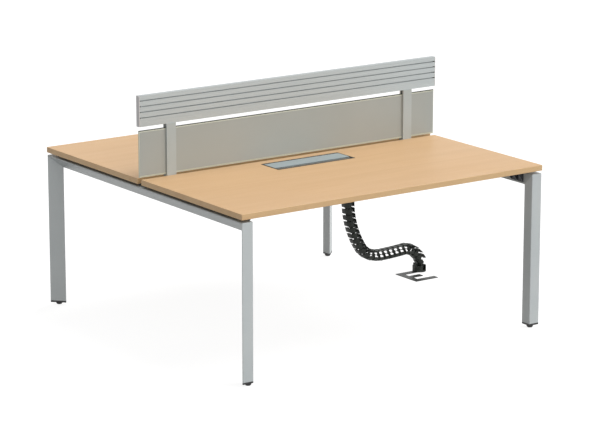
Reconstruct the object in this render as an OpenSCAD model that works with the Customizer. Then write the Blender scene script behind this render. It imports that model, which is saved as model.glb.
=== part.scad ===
// Benching desk for two: two worktops back to back on one steel frame, with a
// screen, a slatted rail, cable ports and a cable spine down to the floor.
// Lengths are in millimetres. X runs along the screen, Y from the front seat to
// the rear seat and Z up from the floor. Shapes are drawn about the middle of
// the worktops, and the whole object is then centred over its own outline.

/* [Desk] */
// Length of the worktops
desk_length = 1600; // [1400:10:1800]
// Depth over both worktops
desk_depth = 1580; // [1400:10:1700]
// Height of the worktop surface
desk_height = 740; // [680:5:800]
// Gap between the two worktops
centre_gap = 30; // [28:1:36]
// Thickness of a worktop
board_t = 25; // [22:1:30]
// Thickness of the edge band
band_t = 2; // [1:0.5:3]
// Height of the shadow gap between frame and worktop
shadow_gap = 12; // [10:1:16]

/* [Frame] */
// Width of the three-sided tube, along the desk
tube_a = 58; // [50:1:70]
// Depth of the three-sided tube, square to its width
tube_b = 58; // [50:1:70]
// Wall of the three-sided tube
tube_wall = 2; // [1.5:0.5:2.5]
// Radius of the tube's edges
tube_r = 3; // [2.5:0.5:5]
// How far the frame stands in from the ends of the worktops
frame_inset_x = 2; // [0:1:20]
// How far the frame stands in from the seat edges of the worktops
frame_inset_y = 1; // [0:1:20]
// Width of a beam
beam_w = 25; // [20:1:40]
// Height of a beam
beam_h = 50; // [45:1:60]
// Wall of a beam
beam_wall = 2; // [1.5:0.5:3]
// Distance from a seat edge to the middle of the outer beam
outer_beam_inset = 230; // [200:5:300]
// Clear space between a cable port and the inner beam
port_to_beam = 17.5; // [12:0.5:40]
// Thickness of a beam's end plate
end_plate_t = 4; // [3:0.5:6]
// Width of a beam's end plate
end_plate_w = 80; // [75:1:100]
// Height of a beam's end plate
end_plate_h = 46; // [40:1:50]
// Distance between the two bolts of an end plate
end_bolt_pitch = 54; // [50:1:60]

/* [Corner brackets] */
// Length of a bracket along the crossbar
bracket_l = 84; // [70:1:110]
// Drop of a bracket below the top of the crossbar
bracket_drop = 44; // [38:1:50]
// Reach of a bracket under the worktop
bracket_reach = 38; // [30:1:60]
// Thickness of a bracket
bracket_t = 3; // [2:0.5:5]
// Distance from the leg's end face to the bracket
bracket_start = 60; // [60:1:80]
// Thickness of the bracket's ribs
rib_t = 3; // [2:0.5:6]

/* [Spacer strips] */
// Width of the strip on top of a crossbar
strip_w = 25; // [15:1:30]
// Distance from the tube's inner face to the strip
strip_back = 8; // [5:1:12]
// Length of the short strip at each corner
strip_corner_l = 180; // [120:5:240]
// Distance from the leg's end face to the first strip
strip_start = 64; // [60:1:100]
// Gap between neighbouring strips
strip_gap = 10; // [5:1:20]
// Length of a spacer pad on a beam
pad_l = 40; // [30:1:60]

/* [Feet] */
// Height from the floor to the end cap
foot_gap = 11; // [10:0.5:14]
// Thickness of a leg's end cap
cap_t = 8; // [6:0.5:12]
// Length of the end cap's plug inside the tube
cap_plug_l = 15; // [12:1:25]
// Radius of a glide's pad
glide_r = 13; // [10:0.5:14]
// Height of a glide's pad
glide_h = 6.5; // [5:0.5:7]
// Radius of a glide's threaded stud
stud_r = 4; // [3:0.5:5]
// Height of the glide's hexagon
stud_hex_h = 3; // [2:0.5:3.5]
// Length of a glide's stud above its pad
stud_l = 52; // [40:1:70]

/* [Cable ports] */
// Length of a port over its rim
port_l = 416; // [300:2:450]
// Depth of a port over its rim
port_d = 133; // [110:1:160]
// Distance from the centre gap to the port's rim
port_setback = 52; // [40:1:80]
// Height of the rim above the worktop
rim_t = 1.5; // [1:0.25:2]
// Overhang of the rim outside the well
rim_lip = 4; // [3:0.5:6]
// Wall of the port's well
well_wall = 2; // [1.5:0.5:3]
// Thickness of a lid
lid_t = 3; // [2:0.25:3.5]
// Depth of a lid in front of its hinge
lid_d = 84; // [60:1:90]
// Radius of the hinge bead along a lid
bead_r = 4; // [3.5:0.25:5]
// Radius of a hinge pin
pin_r = 2; // [1.5:0.25:2.5]
// How far a hinge pin goes into the lid
pin_l = 12; // [8:1:20]
// Depth of the brush's backing bar
brush_bar_d = 6; // [4:0.5:8]
// Height of the brush's backing bar
brush_bar_h = 7; // [5:0.5:9]
// Number of bristles in a brush
bristle_count = 200; // [150:10:250]
// Thickness of a bristle
bristle_t = 1.2; // [0.8:0.1:1.4]

/* [Screen] */
// Distance from a worktop's end to the middle of a post
post_inset = 158; // [120:1:300]
// Width of a post
post_w = 48; // [40:1:60]
// Clear space beside a post in the centre gap
post_clear = 0.5; // [0.25:0.25:1]
// Thickness of the screen panel
panel_t = 10; // [8:0.5:12]
// Height of the screen panel
panel_h = 206; // [180:2:400]
// Height of the panel's lower edge above the worktop
panel_lift = 6; // [4:1:20]
// Width of the panel's bevelled border
bevel_w = 7; // [4:0.5:12]
// Depth of the panel's bevel
bevel_d = 1.2; // [0.6:0.2:2]
// Gap between the panel and the rail
rail_gap = 18; // [14:1:40]

/* [Rail] */
// Height of the slatted rail
rail_h = 136; // [120:1:160]
// Thickness of the rail's core
core_t = 8; // [7:0.5:12]
// Thickness of a slat in front of the core
slat_t = 8; // [6:0.5:10]
// Thickness of a slat's lips
lip_t = 2.5; // [2:0.25:3]
// Undercut behind a slat's lip
lip_undercut = 3.5; // [2:0.25:4.5]
// Distance between grooves
groove_pitch = 25; // [22:0.5:27]
// Height of a groove's mouth
groove_w = 4.4; // [4.4:0.1:5]
// Number of grooves on each face
groove_count = 4; // [2:1:4]
// Distance from the top of the rail to the first groove
first_groove = 21.5; // [18:0.5:26]
// Thickness of the rail's end caps
end_cap_t = 3; // [2:0.5:5]
// Length of the end caps' plugs in the grooves
end_plug_l = 5; // [3:0.5:10]

/* [Cable tray] */
// Distance from a worktop's end to the tray
tray_inset = 240; // [200:10:400]
// Depth of the tray below the beams
tray_drop = 50; // [30:5:80]
// Sheet thickness of the tray
sheet_t = 1.5; // [1:0.25:2]

/* [Cable spine] */
// Distance between the joints of the spine
link_pitch = 30; // [29:1:34]
// Half of a link's size in the plane of the bends
ring_r = 26.5; // [24:0.5:27]
// Half of a link's size across that plane
ring_wide = 34; // [31:0.5:35]
// Thickness of a link's side walls
ring_wall = 2.5; // [2:0.5:3.5]
// Length of a side wall along the spine
wall_long = 23.5; // [20:0.5:23.5]
// Length of a side wall's edge at its knuckle
edge_long = 20; // [16:0.5:20]
// Radius of a link's ball
ball_r = 4.5; // [4:0.25:5]
// Distance from the end of the desk to the middle of the spine's foot
spine_reach = 147; // [140:5:200]
// Distance from the inner beam to the spine's middle
spine_offset = 35.5; // [34:0.5:60]
// Half of the length of the spine's foot
foot_r = 31; // [30:1:34]
// Height of the spine's foot at its knuckle
foot_h = 43; // [40:1:44]
// Height of the foot's side walls
foot_wall_h = 29; // [24:1:32]

/* [Floor plate] */
// Thickness of the floor plate
plate_t = 3; // [3:0.5:5]
// Length of the plate's rear prong with the bar
plate_l = 146; // [130:1:170]
// Width of the plate across its prongs
plate_w = 162; // [140:1:200]
// Width of a prong
prong_w = 30; // [24:1:36]
// How much shorter the front prong is
front_prong_cut = 16; // [10:1:40]
// How much shorter the middle prong is
middle_prong_cut = 54; // [30:1:80]

/* [Hidden] */

// Fine enough that every round stays a true round
$fn = 40;

// Overrun of a cut past the face that it goes through
over = 1;
// Clearance between a fixed screw and its hole
fit_gap = 0.1;
// Clearance of a shaft that turns or slides in its bore
run_gap = 0.06;
// Clearance between loose neighbours
loose_gap = 0.3;
// Clearance of a lid in its well
port_gap = 0.5;
// Least radius of an edge inside the tube
least_r = 0.3;

// Colours
beech = "burlywood";
beech_edge = "tan";
silver_paint = "silver";
black_plastic = "#222222";
zinc = "lightgray";
satin_panel = "#b3b09f";
dark_grey = "#3a3c3c";

// Heights of the worktops and the frame
board_z = desk_height - board_t;
frame_z = board_z - shadow_gap;
beam_z = frame_z - beam_h;

// Corner of the frame tube's triangle, outside the tube's rounded edge
tube_slope = norm([tube_a, tube_b]);
sharp_x = tube_r * (tube_slope + tube_a) / tube_b - tube_r;
corner_x = desk_length / 2 - frame_inset_x + sharp_x;
corner_y = desk_depth / 2 - frame_inset_y;
inner_face = corner_x - tube_a;
// Centre of the circle that fits in the triangle, where the glide stands
glide_in = (tube_a + tube_b - tube_slope) / 2;

// Cable ports and what stands beside them
port_near = centre_gap / 2 + port_setback;
port_far = port_near + port_d;
inner_beam_y = port_far + port_to_beam + beam_w / 2;
outer_beam_y = desk_depth / 2 - outer_beam_inset;
beam_ys = [-outer_beam_y, -inner_beam_y, inner_beam_y, outer_beam_y];
beam_l = 2 * (inner_face - end_plate_t);
tray_l = desk_length - 2 * tray_inset;

// Screws and bolts
bolt_r = 4;
bolt_head_r = 7.5;
bolt_head_h = 5;
bolt_bite = 12;
small_bolt_r = 3;
small_head_r = 5.5;
small_head_h = 3;
small_bite = 10;
screw_r = 2.5;
screw_head_r = 6;
screw_head_h = 3.5;
screw_bite = 16;

// Pads on the beams, clear of the tray
pad_x = tray_l / 2 + pad_l;
inner_pad_xs = [-pad_x, pad_x];
outer_pad_xs = [-pad_x, 0, pad_x];

// Screen and rail heights
post_x = desk_length / 2 - post_inset;
post_d = centre_gap - 2 * post_clear;
panel_z = desk_height + panel_lift;
rail_z = panel_z + panel_h + rail_gap;
rail_top = rail_z + rail_h;
rail_half = core_t / 2 + slat_t;
slot_gap = loose_gap;

// Carriers that hold the posts between the inner beams
carrier_w = post_w + 12;
carrier_h = 30;
carrier_wall = 3;
carrier_drop = 35;
carrier_z = frame_z - carrier_drop;
carrier_l = 2 * (inner_beam_y - beam_w / 2);

// Brackets that join the rail to the posts
tongue_w = post_w - 8;
tongue_t = 4;
tongue_h = 60;
rail_screw_r = 2.5;
rail_screw_head_r = 4.8;
rail_screw_head_h = 2.3;
rail_screw_pitch = 20;
rail_screw_z = rail_z + 18;
set_screw_r = 3;
set_socket_r = 1.7;
set_socket_d = 3;
set_screw_share = [0.28, 0.72];

// Port details
well_x = port_l / 2 - rim_lip;
well_near = port_near + rim_lip;
well_far = port_far - rim_lip;
well_drop = 22;
ledge_w = 5;
ledge_t = 3;
lid_top = desk_height + rim_t;
hinge_gap = 3;
hinge_y = well_near + well_wall + hinge_gap + bead_r;
hinge_z = lid_top - bead_r;
lid_half = well_x - well_wall - port_gap;
lid_far = hinge_y + lid_d;
brush_y = well_far - well_wall - brush_bar_d;
brush_z = desk_height - brush_bar_h;
bristle_root = 0.5;
bristle_z = desk_height - 2 * bristle_t;

// Spine: each run gives a number of links and the turn at each of them, in
// degrees, from the foot upwards. The links above them hang nearly straight.
spine_runs = [[1, 13], [1, 15], [1, 17], [1, 16], [4, -1], [2, -8], [3, -14], [7, -4]];
foot_heading = 34;
drop_lean = 2.5;
foot_lean = 15;
foot_base_t = 4;
foot_neck_out = 17;
foot_neck_r = 5;
ball_lift = 14;
foot_spread = 3;
foot_wall = 3.5;
spine_y = inner_beam_y + beam_w / 2 + spine_offset;
foot_x = desk_length / 2 + spine_reach;
first_ball = [foot_x + foot_neck_out - (foot_h - foot_base_t + ball_lift) * tan(foot_lean),
    plate_t + foot_h + ball_lift];
spine_turns = [0, for (run = spine_runs) for (k = [1:run[0]]) run[1]];
bent_count = len(spine_turns);
bent_headings = [for (i = 0, h = foot_heading; i < bent_count;
    h = h + (i + 1 < bent_count ? spine_turns[i + 1] : 0), i = i + 1) h];
bent_joints = [for (i = 0, p = first_ball; i <= bent_count;
    p = p + (i < bent_count ? step(bent_headings[i]) : [0, 0]), i = i + 1) p];
bent_end = bent_joints[bent_count];
// The lower node holds the links up to the steep part
run_count = bent_count - 8;

// Links of the spine
socket_wall = 2.2;
socket_gap = loose_gap;
socket_r = ball_r + socket_gap + socket_wall;
socket_mouth = ball_r * 0.66;
neck_r = ball_r * 0.42;
ring_mid = 2.5;
ring_spread = ring_wide - ring_r;
// Where a side wall begins behind its knuckle, narrows and ends at its tip
wall_back = 20;
wall_taper = -9;
wall_end = -4;
tip_long = 0.8 * wall_long;
edge_cut = 5;
knuckle_w = 18;
knuckle_t = 7;
// The web leans: its two ends lie at different heights beside the socket
web_t = 12;
web_l = 8;
web_lean = 6;
web_in = 11;

// Bracket that carries the top of the spine
shelf_z = beam_z + 15;
shelf_t = 3;
least_stem = socket_r + 1;
drop_count = floor((shelf_z - least_stem - bent_end[1]) / step(drop_lean)[1]);
top_joint = bent_end + drop_count * step(drop_lean);
link_headings = concat(bent_headings, [for (k = [1:drop_count]) drop_lean]);
link_joints = concat(bent_joints, [for (k = [1:drop_count]) bent_end + k * step(drop_lean)]);
shelf_w = 60;
shelf_wall_h = 30;
shelf_screw_pitch = 40;

// Floor plate
plate_x = foot_x + foot_r / 2 - plate_l;
plate_y = spine_y + prong_w / 2 - plate_w;
foot_screw_r = 2.5;
foot_screw_head_r = 5;
foot_screw_l = 18;
foot_post_r = 9;

// Middle of the whole object's outline
outline_left = -desk_length / 2 - end_cap_t;
outline_right = foot_x + foot_r;
origin_x = (outline_left + outline_right) / 2;

// One joint's step along the spine, for a heading measured from straight up
// and leaning towards the desk
function step(heading) = link_pitch * [-sin(heading), cos(heading)];

// Points of a round edge
function arc(centre, r, from, to, steps = 4) =
    [for (k = [0:steps]) centre + r * [for (a = [from + (to - from) * k / steps]) each [cos(a), sin(a)]]];

// Outline of the three-sided tube, drawn inside its own wall by inset
function tube_outline(inset) =
    let (slope_normal = atan2(tube_a, -tube_b),
        r = max(tube_r - inset, least_r),
        outer = [tube_r * (tube_slope + tube_a) / tube_b, tube_r],
        square_one = [tube_a - tube_r, tube_r],
        far = [tube_a - tube_r,
            (tube_b * (tube_a - tube_r) - tube_r * tube_slope) / tube_a])
    concat(arc(outer, r, slope_normal, 270), arc(square_one, r, 270, 360),
        arc(far, r, 0, slope_normal));

module centred() translate([-origin_x, 0, 0]) children();

// Puts a shape drawn at the front left corner of the frame at any corner
module at_corner(side, end) {
    translate([side * corner_x, end * corner_y, 0])
        mirror([side > 0 ? 1 : 0, 0, 0])
            mirror([0, end > 0 ? 1 : 0, 0])
                children();
}

// Repeats a shape at all four corners
module each_corner() {
    for (side = [-1, 1])
        for (end = [-1, 1])
            at_corner(side, end) children();
}

// Half space above a plane that falls at 45 degrees from the frame's top edge
module mitre(sign) {
    reach = 4 * tube_b;
    translate([-reach / 2, 0, frame_z])
        rotate([-45, 0, 0])
            translate([0, -reach / 2, sign > 0 ? 0 : -reach])
                cube([reach, reach, reach]);
}

module rod_x(x, y, z, r, length) translate([x, y, z]) rotate([0, 90, 0]) cylinder(h = length, r = r);
module rod_y(x, y, z, r, length) translate([x, y, z]) rotate([-90, 0, 0]) cylinder(h = length, r = r);
module rod_z(x, y, z, r, length) translate([x, y, z]) cylinder(h = length, r = r);
module hex_z(x, y, z, r, length) translate([x, y, z]) cylinder(h = length, r = r, $fn = 6);
module block(x0, x1, y0, y1, z0, z1) translate([x0, y0, z0]) cube([x1 - x0, y1 - y0, z1 - z0]);

// Worktop of the front seat, mirrored for the rear one
module worktop_board() {
    x1 = desk_length / 2 - band_t;
    difference() {
        block(-x1, x1, -desk_depth / 2 + band_t, -centre_gap / 2 - band_t, board_z, desk_height);
        block(-well_x - loose_gap, well_x + loose_gap, -well_far - loose_gap,
            -well_near + loose_gap, board_z - over, desk_height + over);
        front_board_screws(fit_gap);
    }
}

module edge_band() {
    x1 = desk_length / 2;
    difference() {
        block(-x1, x1, -desk_depth / 2, -centre_gap / 2, board_z, desk_height);
        block(-x1 + band_t, x1 - band_t, -desk_depth / 2 + band_t, -centre_gap / 2 - band_t,
            board_z - over, desk_height + over);
    }
}

// Shanks of the screws that go up into the front worktop
module front_board_screws(gap) {
    for (x = outer_pad_xs)
        rod_z(x, -outer_beam_y, beam_z - over, screw_r + gap, board_z + screw_bite - beam_z + over);
    for (x = inner_pad_xs)
        rod_z(x, -inner_beam_y, beam_z - over, screw_r + gap, board_z + screw_bite - beam_z + over);
    for (side = [-1, 1])
        at_corner(side, -1) bracket_screw_shanks(gap);
}

module leg_tube() {
    bottom = foot_gap + cap_t;
    difference() {
        translate([0, 0, bottom]) linear_extrude(frame_z - bottom) difference() {
            polygon(tube_outline(0));
            polygon(tube_outline(tube_wall));
        }
        mitre(1);
    }
}

// Crossbar of the left end, mirrored for the right one
module crossbar() {
    difference() {
        translate([-corner_x, corner_y, frame_z]) rotate([90, 0, 0])
            linear_extrude(2 * corner_y) mirror([0, 1]) difference() {
                polygon(tube_outline(0));
                polygon(tube_outline(tube_wall));
            }
        translate([-corner_x, -corner_y, 0]) mitre(-1);
        translate([-corner_x, corner_y, 0]) mirror([0, 1, 0]) mitre(-1);
        for (y = beam_ys)
            for (k = [-1, 1])
                rod_x(-inner_face - bolt_bite, y + k * end_bolt_pitch / 2, beam_z + beam_h / 2,
                    bolt_r + fit_gap, bolt_bite + over);
        for (end = [-1, 1])
            at_corner(-1, end) bracket_bolt_shanks(fit_gap);
    }
}

module end_cap() {
    difference() {
        union() {
            translate([0, 0, foot_gap]) linear_extrude(cap_t) polygon(tube_outline(0));
            translate([0, 0, foot_gap + cap_t]) linear_extrude(cap_plug_l)
                polygon(tube_outline(tube_wall + fit_gap));
        }
        rod_z(tube_a - glide_in, glide_in, foot_gap - over, stud_r + loose_gap,
            cap_t + cap_plug_l + 2 * over);
        hex_z(tube_a - glide_in, glide_in, foot_gap + cap_t + cap_plug_l - nut_h(), nut_r() + fit_gap,
            nut_h() + over);
    }
}

function nut_h() = 1.6 * stud_r;
function nut_r() = 1.85 * stud_r;

module levelling_nut() {
    z = foot_gap + cap_t + cap_plug_l - nut_h();
    difference() {
        hex_z(tube_a - glide_in, glide_in, z, nut_r(), nut_h());
        rod_z(tube_a - glide_in, glide_in, z - over, stud_r + run_gap, nut_h() + 2 * over);
    }
}

module glide_stud() {
    root = glide_h / 2;
    rod_z(tube_a - glide_in, glide_in, root, stud_r, glide_h - root + stud_l);
    hex_z(tube_a - glide_in, glide_in, glide_h, nut_r(), stud_hex_h);
}

module glide_pad() {
    edge = glide_h / 4;
    root = glide_h / 2;
    translate([tube_a - glide_in, glide_in, 0]) difference() {
        rotate_extrude() polygon([[0, 0], [glide_r - edge, 0], [glide_r, edge],
            [glide_r, glide_h - 2 * edge], [glide_r - 2 * edge, glide_h], [0, glide_h]]);
        translate([0, 0, root]) cylinder(h = glide_h, r = stud_r);
    }
}

// Corner bracket: an angle with three ribs, on the crossbar's inner face
module corner_bracket() {
    x0 = tube_a;
    y0 = bracket_start;
    y1 = bracket_start + bracket_l;
    low = frame_z - bracket_drop;
    difference() {
        union() {
            block(x0, x0 + bracket_t, y0, y1, low, board_z);
            block(x0, x0 + bracket_reach, y0, y1, board_z - bracket_t, board_z);
            for (y = [y0, (y0 + y1 - rib_t) / 2, y1 - rib_t])
                translate([0, y + rib_t, 0]) rotate([90, 0, 0]) linear_extrude(rib_t)
                    polygon([[x0, low], [x0 + bracket_t, low],
                        [x0 + bracket_reach, board_z - 2 * bracket_t],
                        [x0 + bracket_reach, board_z], [x0, board_z]]);
        }
        bracket_bolt_shanks(fit_gap);
        bracket_screw_shanks(fit_gap);
    }
}

bracket_ys = [for (k = [1, 3]) bracket_start + bracket_l * k / 4];
bracket_bolt_z = frame_z - bracket_drop / 2 - rib_t;
bracket_screw_x = tube_a + bracket_reach * 0.62;

module bracket_bolt_shanks(gap) {
    for (y = bracket_ys)
        rod_x(tube_a - tube_wall - small_bite, y, bracket_bolt_z, small_bolt_r + gap,
            small_bite + tube_wall + bracket_t + (gap > 0 ? over : 0));
}

module bracket_screw_shanks(gap) {
    for (y = bracket_ys)
        rod_z(bracket_screw_x, y, board_z - bracket_t - (gap > 0 ? over : 0), screw_r + gap,
            bracket_t + screw_bite + (gap > 0 ? over : 0));
}

// Strips that fill the shadow gap over a crossbar, drawn at the left end
module spacer_strip_set() {
    x1 = -inner_face - strip_back;
    first = corner_y - strip_start;
    second = first - strip_corner_l - strip_gap;
    block(x1 - strip_w, x1, -first, -first + strip_corner_l, frame_z, board_z);
    block(x1 - strip_w, x1, -second, second, frame_z, board_z);
    block(x1 - strip_w, x1, first - strip_corner_l, first, frame_z, board_z);
}

// Beam: a tube with holes for its screws
module beam(y, pad_xs, tray_screws) {
    difference() {
        block(-beam_l / 2, beam_l / 2, y - beam_w / 2, y + beam_w / 2, beam_z, frame_z);
        block(-beam_l / 2 - over, beam_l / 2 + over, y - beam_w / 2 + beam_wall,
            y + beam_w / 2 - beam_wall, beam_z + beam_wall, frame_z - beam_wall);
        for (x = pad_xs)
            rod_z(x, y, beam_z - over, screw_r + fit_gap, beam_h + 2 * over);
        if (tray_screws)
            tray_screw_shanks(fit_gap);
        if (y == inner_beam_y)
            spine_screw_shanks(fit_gap);
    }
}

module end_plate(x, y) {
    difference() {
        block(x, x + end_plate_t, y - end_plate_w / 2, y + end_plate_w / 2,
            beam_z + (beam_h - end_plate_h) / 2, beam_z + (beam_h + end_plate_h) / 2);
        for (k = [-1, 1])
            rod_x(x - over, y + k * end_bolt_pitch / 2, beam_z + beam_h / 2, bolt_r + fit_gap,
                end_plate_t + 2 * over);
    }
}

module pads_for_beam(y, pad_xs) {
    for (x = pad_xs)
        difference() {
            block(x - pad_l / 2, x + pad_l / 2, y - beam_w / 2, y + beam_w / 2, frame_z, board_z);
            rod_z(x, y, frame_z - over, screw_r + fit_gap, shadow_gap + 2 * over);
        }
}

module beam_screw(x, y) {
    rod_z(x, y, beam_z - screw_head_h, screw_head_r, screw_head_h);
    rod_z(x, y, beam_z - screw_head_h, screw_r, screw_head_h + board_z + screw_bite - beam_z);
}

// Carrier between the inner beams, with the post's foot through its top wall
module post_carrier(x) {
    difference() {
        block(x - carrier_w / 2, x + carrier_w / 2, -carrier_l / 2, carrier_l / 2, carrier_z,
            carrier_z + carrier_h);
        block(x - carrier_w / 2 + carrier_wall, x + carrier_w / 2 - carrier_wall,
            -carrier_l / 2 - over, carrier_l / 2 + over, carrier_z + carrier_wall,
            carrier_z + carrier_h - carrier_wall);
        block(x - post_w / 2 - fit_gap, x + post_w / 2 + fit_gap, -post_d / 2 - fit_gap,
            post_d / 2 + fit_gap, carrier_z + carrier_h / 2, carrier_z + carrier_h + over);
        rod_z(x, 0, carrier_z - over, bolt_r + fit_gap, carrier_wall + 2 * over);
    }
}

// Post: a bar that forks round the panel and carries the rail on its tips
module screen_post(x) {
    bottom = carrier_z + carrier_wall;
    edge = post_clear;
    difference() {
        translate([x, 0, bottom]) linear_extrude(rail_z - bottom)
            polygon([[-post_w / 2, -post_d / 2 + edge], [-post_w / 2 + edge, -post_d / 2],
                [post_w / 2 - edge, -post_d / 2], [post_w / 2, -post_d / 2 + edge],
                [post_w / 2, post_d / 2 - edge], [post_w / 2 - edge, post_d / 2],
                [-post_w / 2 + edge, post_d / 2], [-post_w / 2, post_d / 2 - edge]]);
        block(x - post_w, x + post_w, -panel_t / 2 - slot_gap, panel_t / 2 + slot_gap, panel_z,
            rail_z + over);
        rod_z(x, 0, bottom - over, bolt_r + fit_gap, post_bolt_l + over);
        for (share = set_screw_share)
            rod_y(x, 0, panel_z + panel_h * share, set_screw_r + fit_gap, post_d);
    }
}

post_bolt_l = 24;

module carrier_bolt(x) {
    hex_z(x, 0, carrier_z - bolt_head_h, bolt_head_r, bolt_head_h);
    rod_z(x, 0, carrier_z - bolt_head_h, bolt_r, bolt_head_h + carrier_wall + post_bolt_l);
}

// Panel: a sheet whose border is bevelled on both faces
module screen_panel_sheet() {
    half_l = desk_length / 2;
    half_t = panel_t / 2;
    intersection() {
        translate([-half_l, 0, 0]) rotate([90, 0, 90]) linear_extrude(2 * half_l)
            polygon([[-half_t + bevel_d, panel_z], [half_t - bevel_d, panel_z],
                [half_t, panel_z + bevel_w], [half_t, panel_z + panel_h - bevel_w],
                [half_t - bevel_d, panel_z + panel_h], [-half_t + bevel_d, panel_z + panel_h],
                [-half_t, panel_z + panel_h - bevel_w], [-half_t, panel_z + bevel_w]]);
        translate([0, 0, panel_z - over]) linear_extrude(panel_h + 2 * over)
            polygon([[-half_l, -half_t + bevel_d], [-half_l + bevel_w, -half_t],
                [half_l - bevel_w, -half_t], [half_l, -half_t + bevel_d],
                [half_l, half_t - bevel_d], [half_l - bevel_w, half_t],
                [-half_l + bevel_w, half_t], [-half_l, half_t - bevel_d]]);
    }
}

// Bracket in the post's fork, with a tongue up into the rail's core
module rail_bracket(x) {
    difference() {
        union() {
            block(x - tongue_w / 2, x + tongue_w / 2, -panel_t / 2, panel_t / 2,
                panel_z + panel_h + loose_gap, rail_z);
            block(x - tongue_w / 2, x + tongue_w / 2, -tongue_t / 2, tongue_t / 2,
                rail_z - over, rail_z + tongue_h);
        }
        rail_screw_shanks(x, fit_gap);
    }
}

module rail_screw_shanks(x, gap) {
    for (k = [-1, 1])
        rod_y(x + k * rail_screw_pitch / 2, -tongue_t / 2 - (gap > 0 ? over : 0), rail_screw_z,
            rail_screw_r + gap, rail_half + tongue_t / 2 + (gap > 0 ? 2 * over : 0));
}

module rail_screw_heads(x, gap) {
    for (k = [-1, 1])
        translate([x + k * rail_screw_pitch / 2, rail_half - rail_screw_head_h, rail_screw_z])
            rotate([-90, 0, 0])
                cylinder(h = rail_screw_head_h, r1 = rail_screw_r + gap, r2 = rail_screw_head_r + gap);
}

module rail_core_plate() {
    difference() {
        block(-desk_length / 2, desk_length / 2, -core_t / 2, core_t / 2, rail_z, rail_top);
        for (x = [-post_x, post_x]) {
            block(x - tongue_w / 2 - loose_gap, x + tongue_w / 2 + loose_gap,
                -tongue_t / 2 - fit_gap, tongue_t / 2 + fit_gap, rail_z - over,
                rail_z + tongue_h + loose_gap);
            rail_screw_shanks(x, fit_gap);
        }
    }
}

// Middles of the grooves, from the top one down
groove_zs = [for (k = [0:groove_count - 1]) rail_top - first_groove - k * groove_pitch];
// Each slat's lower and upper edge
slat_spans = [for (k = [0:groove_count])
    [k == groove_count ? rail_z : groove_zs[k] + groove_w / 2,
        k == 0 ? rail_top : groove_zs[k - 1] - groove_w / 2]];

// Slat: a face with lips that overhang the grooves above and below it
module slat(k) {
    low = slat_spans[k][0];
    high = slat_spans[k][1];
    low_cut = k == groove_count ? 0 : lip_undercut;
    high_cut = k == 0 ? 0 : lip_undercut;
    root = core_t / 2;
    face = rail_half;
    translate([-desk_length / 2, 0, 0]) rotate([90, 0, 90]) linear_extrude(desk_length)
        polygon([[root, low + low_cut], [face - lip_t, low + low_cut], [face - lip_t, low],
            [face, low], [face, high], [face - lip_t, high], [face - lip_t, high - high_cut],
            [root, high - high_cut]]);
}

module rail_end_cap(side) {
    x0 = side > 0 ? desk_length / 2 : -desk_length / 2 - end_cap_t;
    block(x0, x0 + end_cap_t, -rail_half, rail_half, rail_z, rail_top);
    for (z = groove_zs)
        for (face = [-1, 1]) {
            plug_x = side > 0 ? x0 - end_plug_l : x0 + end_cap_t - over;
            plug_y = face > 0 ? core_t / 2 + fit_gap : -rail_half;
            translate([plug_x, plug_y, z - groove_w / 2 + fit_gap])
                cube([end_plug_l + over, slat_t - fit_gap, groove_w - 2 * fit_gap]);
        }
}

module set_screw(x, z) {
    y0 = panel_t / 2;
    difference() {
        rod_y(x, y0, z, set_screw_r, post_d / 2 - y0);
        translate([x, post_d / 2 - set_socket_d, z]) rotate([-90, 0, 0])
            cylinder(h = set_socket_d + over, r = set_socket_r, $fn = 6);
    }
}

// Tray of folded sheet, hung under the inner beams
module tray() {
    y1 = inner_beam_y - beam_w / 2;
    half = tray_l / 2;
    difference() {
        union() {
            block(-half, half, -y1 - sheet_t, y1 + sheet_t, beam_z - tray_drop, beam_z - tray_drop + sheet_t);
            for (side = [-1, 1]) {
                wall_y = side > 0 ? y1 : -y1 - sheet_t;
                flange_y = side > 0 ? y1 : -y1 - beam_w;
                block(-half, half, wall_y, wall_y + sheet_t, beam_z - tray_drop, beam_z);
                block(-half, half, flange_y, flange_y + beam_w, beam_z - sheet_t, beam_z);
            }
        }
        tray_screw_shanks(fit_gap);
    }
}

tray_screw_xs = [for (k = [-1, 0, 1]) k * tray_l * 0.42];

module tray_screw_shanks(gap) {
    for (x = tray_screw_xs)
        for (y = [-inner_beam_y, inner_beam_y])
            rod_z(x, y, beam_z - sheet_t - (gap > 0 ? over : 0), screw_r + gap,
                sheet_t + small_bite + (gap > 0 ? over : 0));
}

// Port frame of the front worktop: a rim, a well and ledges for the lid's ends
module port_frame() {
    x1 = port_l / 2;
    inner_x = well_x - well_wall;
    ledge_z = lid_top - lid_t - loose_gap;
    difference() {
        union() {
            difference() {
                union() {
                    block(-x1, x1, -port_far, -port_near, desk_height, lid_top);
                    block(-well_x, well_x, -well_far, -well_near, desk_height - well_drop, lid_top);
                }
                block(-inner_x, inner_x, -well_far + well_wall, -well_near - well_wall,
                    desk_height - well_drop - over, lid_top + over);
            }
            for (side = [-1, 1]) {
                x0 = side > 0 ? inner_x - ledge_w : -inner_x;
                block(x0, x0 + ledge_w, -lid_far + over, -hinge_y - bead_r - hinge_gap,
                    ledge_z - ledge_t, ledge_z);
            }
        }
        rod_x(-x1, -hinge_y, hinge_z, pin_r + fit_gap, 2 * x1);
    }
}

// Lid of the front port: a plate with a round bead along its hinge
module port_lid() {
    difference() {
        translate([-lid_half, 0, 0]) rotate([90, 0, 90]) linear_extrude(2 * lid_half) union() {
            translate([-lid_far, lid_top - lid_t]) square([lid_d, lid_t]);
            translate([-hinge_y, hinge_z]) circle(r = bead_r);
        }
        for (side = [-1, 1])
            rod_x(side > 0 ? lid_half - pin_l : -lid_half - over, -hinge_y, hinge_z,
                pin_r + run_gap, pin_l + over);
    }
}

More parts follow.
